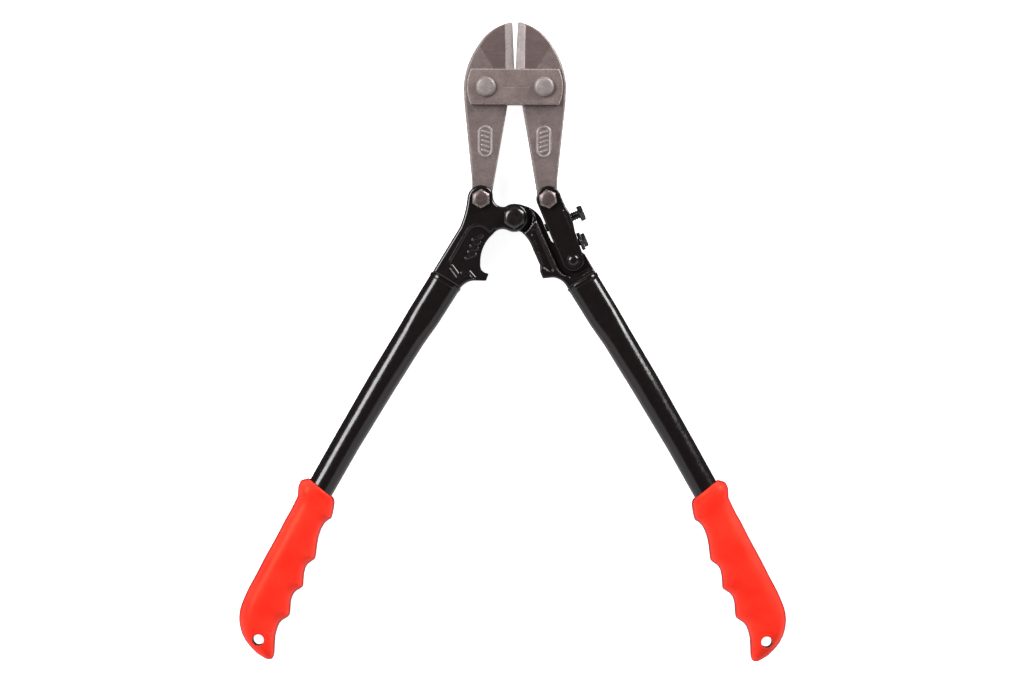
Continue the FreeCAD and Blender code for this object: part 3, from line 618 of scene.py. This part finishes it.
def make_rivet(name):
    """A jaw pivot: a low head with turning rings, on a plain shank."""
    node = "jaw_pivot_" + name
    under = (PLATE_TOP - HALF_DEPTH) / MM
    bottom, top = depth_range(node)
    head = [(0.5, 0.05), (1.2, 0.0), (1.6, 0.07), (2.9, 0.05), (3.3, 0.12), (4.4, 0.14),
            (5.0, 0.25), (5.7, 0.6), (6.25, 1.15), (6.55, 1.8), (6.65, 2.6)]
    rings = [ring(radius, top - drop) for radius, drop in head]
    rings += [ring(6.65, under), ring(4.0, under), ring(4.0, bottom)]
    add_piece(node + "_part", turned_mesh(node, rings, upright(node)), "rivet", node)


def make_bolt(node, material, flats, face, shank, turn):
    """A hexagon-headed bolt through a handle head or the link."""
    under = (HEAD_TOP - HALF_DEPTH) / MM
    bottom, top = depth_range(node)
    rings = hexagon_head(flats, face, top, under) + [ring(shank, under), ring(shank, bottom)]
    add_piece(node + "_part", turned_mesh(node, rings, upright(node, turn)), material, node)


def make_link_pin():
    """The pin at the link's foot: a domed head on a collar at each end."""
    node, face = "link_pin", (HEAD_TOP - HALF_DEPTH) / MM
    dome, height, collar = 4.0, 2.9, 4.8
    rings = []
    for step in range(1, 9):
        angle = math.radians(90 - 11 * step)
        rings.append(ring(dome * math.cos(angle), face + 0.5 + (height - 0.5) * math.sin(angle)))
    rings += [ring(dome, face + 0.55), ring(collar - 0.2, face + 0.5), ring(collar, face + 0.3),
              ring(collar, face), ring(3.2, face), ring(3.2, -face), ring(collar, -face),
              ring(collar, -face - 1.0), ring(collar - 0.8, -face - 1.5), ring(2.0, -face - 1.6)]
    add_piece(node + "_part", turned_mesh(node, rings, upright(node)), "paint", node)


LINK_TOP = Vector((middle("tail_washer_right").x, middle("tail_washer_right").y, HALF_DEPTH))
LINK_FOOT = Vector((middle("link_pin").x, middle("link_pin").y, HALF_DEPTH))
PUSH_SCREW_ALONG, LOCK_SCREW_ALONG = 16.8, 33.8   # mm down the link from its top bolt


def across_link(along):
    """The place of a screw that lies across the link; its own Z axis points outwards from
    the link's centre line."""
    down = (LINK_FOOT - LINK_TOP).normalized()
    out = Vector((-down.y, down.x, 0.0))
    turned = Matrix((Vector((0, 0, 1)), out.cross(Vector((0, 0, 1))), out)).transposed()
    return Matrix.Translation(LINK_TOP + down * along * MM) @ turned.to_4x4()


def make_cross_screw(node, along, radius, tip, low, high, flats, pitch):
    """A hexagon-headed screw across the link. tip, low and high are the ends of its thread
    and head, in mm from the link's centre line."""
    rings = hexagon_head(flats, 0.43 * flats, high, low, slope=24)
    rings += thread_rings(radius, pitch, tip, low - 0.01)
    add_piece(node + "_part", turned_mesh(node, rings, across_link(along)), "oxide", node)


def make_lock_nut():
    """The thin nut on the lock screw, bevelled on both faces."""
    node, flats, low, high = "lock_nut", 12.0, 8.4, 10.7
    fall = math.tan(math.radians(24))
    drop = lambda radius: max(radius - 5.4, 0.0) * fall
    rings = [ring(2.6, high), ring(5.2, high), hexagon_ring(flats, 0.1, lambda r: high - drop(r)),
             hexagon_ring(flats, 0.0, lambda r: high - drop(r) - 0.1),
             hexagon_ring(flats, 0.0, lambda r: low + drop(r) + 0.1),
             hexagon_ring(flats, 0.1, lambda r: low + drop(r)), ring(5.2, low), ring(2.6, low)]
    mesh = turned_mesh(node, rings, across_link(LOCK_SCREW_ALONG), bored=True)
    add_piece(node + "_part", mesh, "oxide", node)


def make_fasteners():
    for name, side in SIDES:
        make_rivet(name)
        machined("jaw_pivot_nut_" + name, "bolt")
        make_bolt("tail_bolt_" + name, "bolt", flats=11.0, face=4.0, shank=3.5,
                  turn=30 if side < 0 else 40)
        machined("tail_washer_" + name, "bolt", 0.12 * MM)
        machined("tail_nut_" + name, "bolt")
    make_bolt("centre_bolt", "oxide", flats=13.0, face=4.9, shank=4.0, turn=30)
    machined("centre_washer", "oxide", 0.12 * MM)
    machined("centre_nut", "oxide", 0.3 * MM)
    make_link_pin()
    make_cross_screw("push_screw", PUSH_SCREW_ALONG, radius=2.9, tip=-8.6, low=15.1, high=18.5,
                     flats=10.0, pitch=1.5)
    make_cross_screw("lock_screw", LOCK_SCREW_ALONG, radius=2.5, tip=3.6, low=10.9, high=13.4,
                     flats=9.0, pitch=1.25)
    make_lock_nut()


# ---------------------------------------------------------------- handle heads and link


def make_left_head():
    """The left forging: a rib along its panel, short chevrons by the tube, plain marks."""
    head = forged("handle_head_left", "paint", FIRST_SKIN)
    round_over(head, 2.0 * MM)
    border = [from_centre(*spot) for spot in (
        (-15.3, -9.0), (-18.2, -6.6), (-22.2, -5.0), (-26.2, -5.1), (-30.0, -7.8), (-32.4, -11.8),
        (-42.0, -28.6))]
    raise_lines(head, [border], 2.6 * MM, 0.27 * MM)
    chevrons = [[from_centre(-40.8, -31.4), from_centre(-36.6, -36.9)],
                [from_centre(-34.4, -36.5), from_centre(-29.4, -35.2), from_centre(-25.6, -39.4)]]
    raise_lines(head, chevrons, 1.3 * MM, 0.7 * MM)
    marks = []
    for step in range(4):
        left, low = -26.9 - 1.5 * step, -14.9 - 4.0 * step
        marks.append([from_centre(left, low), from_centre(left + 6.0, low + 2.7)])
    raise_lines(head, marks, 1.6 * MM, 0.7 * MM)
    soften(head, LAST_SKIN, 3)


def make_right_head():
    """The right forging: a rim along the link's side and two small bosses by the pivot."""
    head = forged("handle_head_right", "paint", FIRST_SKIN)
    round_over(head, 1.6 * MM)
    rim = [from_centre(*spot) for spot in (
        (13.9, -3.2), (17.0, -9.8), (28.0, -33.6), (31.0, -37.2), (36.0, -38.6), (44.0, -37.0),
        (50.0, -33.4))]
    raise_lines(head, [rim], 1.3 * MM, 0.5 * MM)
    bosses = [[from_centre(x, y), from_centre(x + 0.3, y + 0.3)]
              for x, y in ((11.3, -2.5), (12.5, -4.9))]
    raise_lines(head, bosses, 1.6 * MM, 0.5 * MM)
    soften(head, LAST_SKIN, 3)


def make_adjusting_link():
    """The folded link, with a short rib along its outer side by the push screw."""
    link = forged("adjusting_link", "paint", FIRST_SKIN)
    round_over(link, 1.1 * MM)
    place = across_link(0.0)
    edge = [tuple((place @ (Vector((0, along, 6.9)) * MM)).xy) for along in (11.0, 23.5)]
    raise_lines(link, [edge], 1.5 * MM, 0.45 * MM)
    soften(link, LAST_SKIN, 3)


# ---------------------------------------------------------------- tubes and grips

# distance along the handle, width, thickness, offset of the centre line, as in the CAD
TUBE_STATIONS = np.array([
    (0.1, 21.6, 14.5, 0.0), (28.0, 21.3, 14.9, 0.4), (44.0, 19.9, 16.9, 0.9),
    (80.0, 19.2, 18.3, 1.2), (125.0, 17.9, 17.6, 0.8), (170.0, 17.6, 17.4, -0.4),
    (215.0, 17.4, 17.2, -1.9)])

# distance along the handle and place across it, for the grip's finger side, with a tip at
# the collar's end and at each finger ridge
GRIP_INNER = np.array([
    (159.5, -10.6), (161.0, -12.6), (166.0, -14.7), (170.0, -15.9), (172.4, -16.5),
    (175.0, -15.0), (178.5, -14.2), (183.0, -14.4), (188.0, -15.6), (193.0, -17.5),
    (197.5, -19.6), (201.2, -21.1), (203.6, -20.1), (206.4, -18.8), (209.4, -18.6),
    (213.5, -19.9), (217.5, -21.9), (221.0, -23.8), (223.4, -22.7), (226.2, -21.2),
    (229.4, -20.8), (233.5, -21.9), (238.0, -24.3), (241.8, -26.0), (244.4, -24.9),
    (247.4, -23.3), (250.4, -22.9), (254.0, -23.6), (258.0, -24.8), (263.0, -27.4),
    (268.0, -30.2), (271.4, -31.2), (273.4, -30.2), (274.2, -27.5)])
GRIP_OUTER = np.array([
    (159.5, 9.9), (163.4, 13.7), (167.4, 13.2), (172.4, 10.2),
    (176.0, 9.8), (183.0, 9.2), (190.0, 9.1), (200.0, 8.4), (210.0, 8.0), (220.0, 7.6),
    (230.0, 6.9), (240.0, 6.5), (247.0, 5.7), (252.0, 4.9), (256.0, 3.8), (260.0, 1.9),
    (264.0, -0.9), (268.0, -4.9), (271.0, -9.6), (273.2, -15.4), (274.2, -21.0)])
GRIP_THICKNESS = np.array([
    (159.5, 22.4), (161.5, 25.0), (166.5, 26.6), (170.0, 26.2), (175.0, 25.2), (184.0, 25.6),
    (196.0, 26.8), (210.0, 27.2), (246.0, 27.2), (258.0, 26.6), (264.0, 25.0), (269.0, 20.8),
    (272.6, 14.6), (274.2, 8.0)])
TUBE_WALL, GRIP_GAP = 1.6, 0.05
GRIP_CREST = 11.5                 # the thickest line lies this far in from the outer side
MOUTH_SLANT = 0.13                # the collar's finger side starts further down the handle
HANGING_HOLE = (-16.7, 265.7)     # across and along the handle
HOLE_RADIUS = 3.7


def follow(stations, distance, column=1):
    """A station value at a distance, with the corners between stations slightly rounded."""
    return np.mean([np.interp(distance + step, stations[:, 0], stations[:, column])
                    for step in np.linspace(-0.7, 0.7, 7)])


def oval(across_low, crest, across_high, thickness, angle, power):
    """A point of a rounded section that is widest at mid-depth and thickest at its crest."""
    c, s = math.cos(angle), math.sin(angle)
    reach = across_high - crest if c > 0 else crest - across_low
    return (crest + math.copysign(abs(c) ** (2 / power) * reach, c),
            math.copysign(abs(s) ** (2 / power) * thickness / 2, s))


def racetrack(distance, grow, angle):
    """A point of the tube's section: two flats and two round ends, grown by an amount."""
    width, thickness, offset = (follow(TUBE_STATIONS, distance, column) for column in (1, 2, 3))
    flat, end = (width - thickness) / 2, thickness / 2 + grow
    c, s = math.cos(angle), math.sin(angle)
    return (offset + math.copysign(flat, c) + end * c, end * s, distance)


def tube_rows(steps):
    """Rows of points from the mouth along the outside, then back along the inside."""
    rows = []
    outside = [0.1, 0.25, 0.6, 1.1, 1.6, 2.1, 2.5, 2.8, 3.1] + list(np.linspace(4.0, 215.0, 150))
    for distance in outside:
        bead = 0.4 * math.sqrt(max(0.0, 1 - ((distance - 1.4) / 1.45) ** 2))
        rows.append([racetrack(distance, bead, 2 * math.pi * k / steps) for k in range(steps)])
    for distance in np.linspace(215.0, 0.1, 40):
        rows.append([racetrack(distance, -TUBE_WALL, 2 * math.pi * k / steps)
                     for k in range(steps)])
    return rows


def grip_rows(steps):
    """Rows of points from the hook's end up to the mouth, then down inside the socket."""
    rows = []
    for distance in np.linspace(274.2, 159.5, 190):
        inner, outer = follow(GRIP_INNER, distance), follow(GRIP_OUTER, distance)
        thickness = follow(GRIP_THICKNESS, distance)
        crest = max(outer - GRIP_CREST, (inner + outer) / 2)
        rows.append([(*oval(inner, crest, outer, thickness, 2 * math.pi * k / steps, 2.35),
                      distance) for k in range(steps)])
    for distance in np.linspace(159.5, 215.4, 30):
        rows.append([racetrack(distance, GRIP_GAP, 2 * math.pi * k / steps) for k in range(steps)])
    return rows


def lofted_mesh(name, rows, place, closed=False):
    """A solid through rows of (across, height, distance) points, in mm."""
    loops = [[place @ (Vector((across, distance, height)) * MM)
              for across, height, distance in row] for row in rows]
    return mesh_through(name, loops, closed)


def slanted(row):
    """A grip's row, turned a little near the mouth so that its finger side starts later."""
    return [(across, height,
             distance - MOUTH_SLANT * across * min(max((180 - distance) / 20, 0), 1))
            for across, height, distance in row]


def make_grip(name, side):
    """A moulded grip: collar, finger ridges, hook end, socket for the tube, hanging hole with its
    wall painted black as shade.
    """
    node, place = "grip_" + name, along_handle(side)
    rows = [slanted(row) for row in grip_rows(80)]
    # The blackened steel is painted shade on the hanging hole's wall.
    grip = add_piece(node + "_part", lofted_mesh(node, rows, place), ["vinyl", "oxide"], node)
    hole = place @ (Vector((*HANGING_HOLE, 0.0)) * MM)
    rings = [ring(HOLE_RADIUS, 20), ring(HOLE_RADIUS, -20)]
    drill = turned_mesh("hole", rings, Matrix.Translation(hole))
    cutter = bpy.data.objects.new("hole_cutter", drill)
    bpy.context.scene.collection.objects.link(cutter)
    bore = grip.modifiers.new("hanging_hole", "BOOLEAN")
    bore.object = cutter
    bore.solver = "EXACT"
    soften(grip, GRIP_SKIN, 3)
    bpy.data.objects.remove(cutter)
    # Painted shade: the hole's wall takes the blackened steel.
    for face in grip.data.polygons:
        near = (face.center.xy - hole.xy).length < (HOLE_RADIUS + 0.35) * MM
        face.material_index = 1 if near and abs(face.normal.z) < 0.5 else 0


def make_tube(name, side):
    """A painted tube, pressed flat towards its head end, with a beaded mouth."""
    node = "handle_tube_" + name
    mesh = lofted_mesh(node, tube_rows(96), along_handle(side), closed=True)
    add_piece(node + "_part", mesh, "paint", node)


def make_handles():
    for name, side in SIDES:
        make_tube(name, side)
        make_grip(name, side)


# ---------------------------------------------------------------- stage, light and camera


def add_light(name, centre, size, power, target, long_side):
    """A soft rectangular light aimed at a point; long_side is the way its width runs."""
    lamp = bpy.data.lights.new(name, "AREA")
    lamp.shape = "RECTANGLE"
    lamp.size, lamp.size_y = size
    lamp.energy = power
    holder = bpy.data.objects.new(name, lamp)
    bpy.context.scene.collection.objects.link(holder)
    back = (centre - target).normalized()
    up = back.cross(long_side).normalized()
    turned = Matrix((up.cross(back), up, back)).transposed()
    holder.matrix_world = Matrix.Translation(centre) @ turned.to_4x4()


def light_beside_tube(name, side, zenith, spread, reach, power):
    """A strip light that shows along the outer side of one tube. zenith is its angle from
    straight up, spread the angle it covers; reach is the stretch of the tube it serves."""
    distance = 1.5
    zenith, spread = math.radians(zenith), math.radians(spread)
    place = along_handle(side)
    along = place.to_3x3() @ Vector((0, 1, 0))
    outward = place.to_3x3() @ Vector((1, 0, 0))
    target = place.translation + along * (reach[0] + reach[1]) / 2
    away = outward * math.sin(zenith) + Vector((0, 0, 1)) * math.cos(zenith)
    size = (reach[1] - reach[0], 2 * distance * math.tan(spread / 2))
    add_light(name, target + away * distance, size, power, target, along)


ROOM_LEVEL, SCREEN_LEVEL = 0.06, 0.9


def make_world():
    """A dim room with a white screen low in front, towards the grips."""
    world = bpy.data.worlds.new("studio")
    world.use_nodes = True
    tree = world.node_tree
    ground = tree.nodes["Background"]
    ground.inputs["Color"].default_value = (1.0, 1.0, 1.0, 1.0)
    place = tree.nodes.new("ShaderNodeTexCoord").outputs["Generated"]
    parts = tree.nodes.new("ShaderNodeSeparateXYZ")
    tree.links.new(place, parts.inputs["Vector"])
    both = tree.nodes.new("ShaderNodeMath")
    both.operation = "MULTIPLY"
    for number, (axis, dark, bright) in enumerate((("Y", 0.05, -0.3), ("Z", 0.82, 0.66))):
        fade = tree.nodes.new("ShaderNodeMapRange")
        fade.interpolation_type = "SMOOTHSTEP"
        fade.inputs["From Min"].default_value = dark
        fade.inputs["From Max"].default_value = bright
        tree.links.new(parts.outputs[axis], fade.inputs["Value"])
        tree.links.new(fade.outputs["Result"], both.inputs[number])
    level = tree.nodes.new("ShaderNodeMapRange")
    level.inputs["To Min"].default_value = ROOM_LEVEL
    level.inputs["To Max"].default_value = SCREEN_LEVEL
    tree.links.new(both.outputs["Value"], level.inputs["Value"])
    tree.links.new(level.outputs["Result"], ground.inputs["Strength"])
    bpy.context.scene.world = world


def make_stage():
    mesh = bpy.data.meshes.new("floor")
    half = 6.0
    corners = [(-half, -half, 0), (half, -half, 0), (half, half, 0), (-half, half, 0)]
    mesh.from_pydata(corners, [], [(0, 1, 2, 3)])
    floor = bpy.data.objects.new("floor", mesh)
    bpy.context.scene.collection.objects.link(floor)
    m = Nodes("pale_floor")
    m.set(colour=(0.9, 0.9, 0.9), rough=0.9, specular=0.1)
    m.surface.inputs["Emission Color"].default_value = (1.0, 1.0, 1.0, 1.0)
    m.surface.inputs["Emission Strength"].default_value = 0.84
    mesh.materials.append(m.material)
    floor.visible_glossy = False
    make_world()
    light_beside_tube("left_softbox", -1, zenith=46, spread=28, reach=(-0.45, 0.5), power=32)
    light_beside_tube("right_softbox", 1, zenith=70, spread=26, reach=(-0.85, 0.06), power=38)


def make_camera():
    """A long lens straight above the tool."""
    view_width, lens, sensor = 672.7 * MM, 200.0, 36.0
    camera = bpy.data.objects.new("camera", bpy.data.cameras.new("camera"))
    bpy.context.scene.collection.objects.link(camera)
    camera.data.lens = lens
    camera.data.sensor_width = sensor
    distance = view_width * lens / sensor
    camera.location = (-1.2 * MM, 0.8 * MM, HALF_DEPTH + distance)
    camera.rotation_euler = (0.0, 0.0, math.radians(0.25))
    camera.data.clip_end = 20.0
    bpy.context.scene.camera = camera


make_camera()
make_stage()
make_jaws()
make_plates()
make_fasteners()
make_left_head()
make_right_head()
make_adjusting_link()
make_handles()
bpy.context.scene.view_settings.view_transform = "Standard"
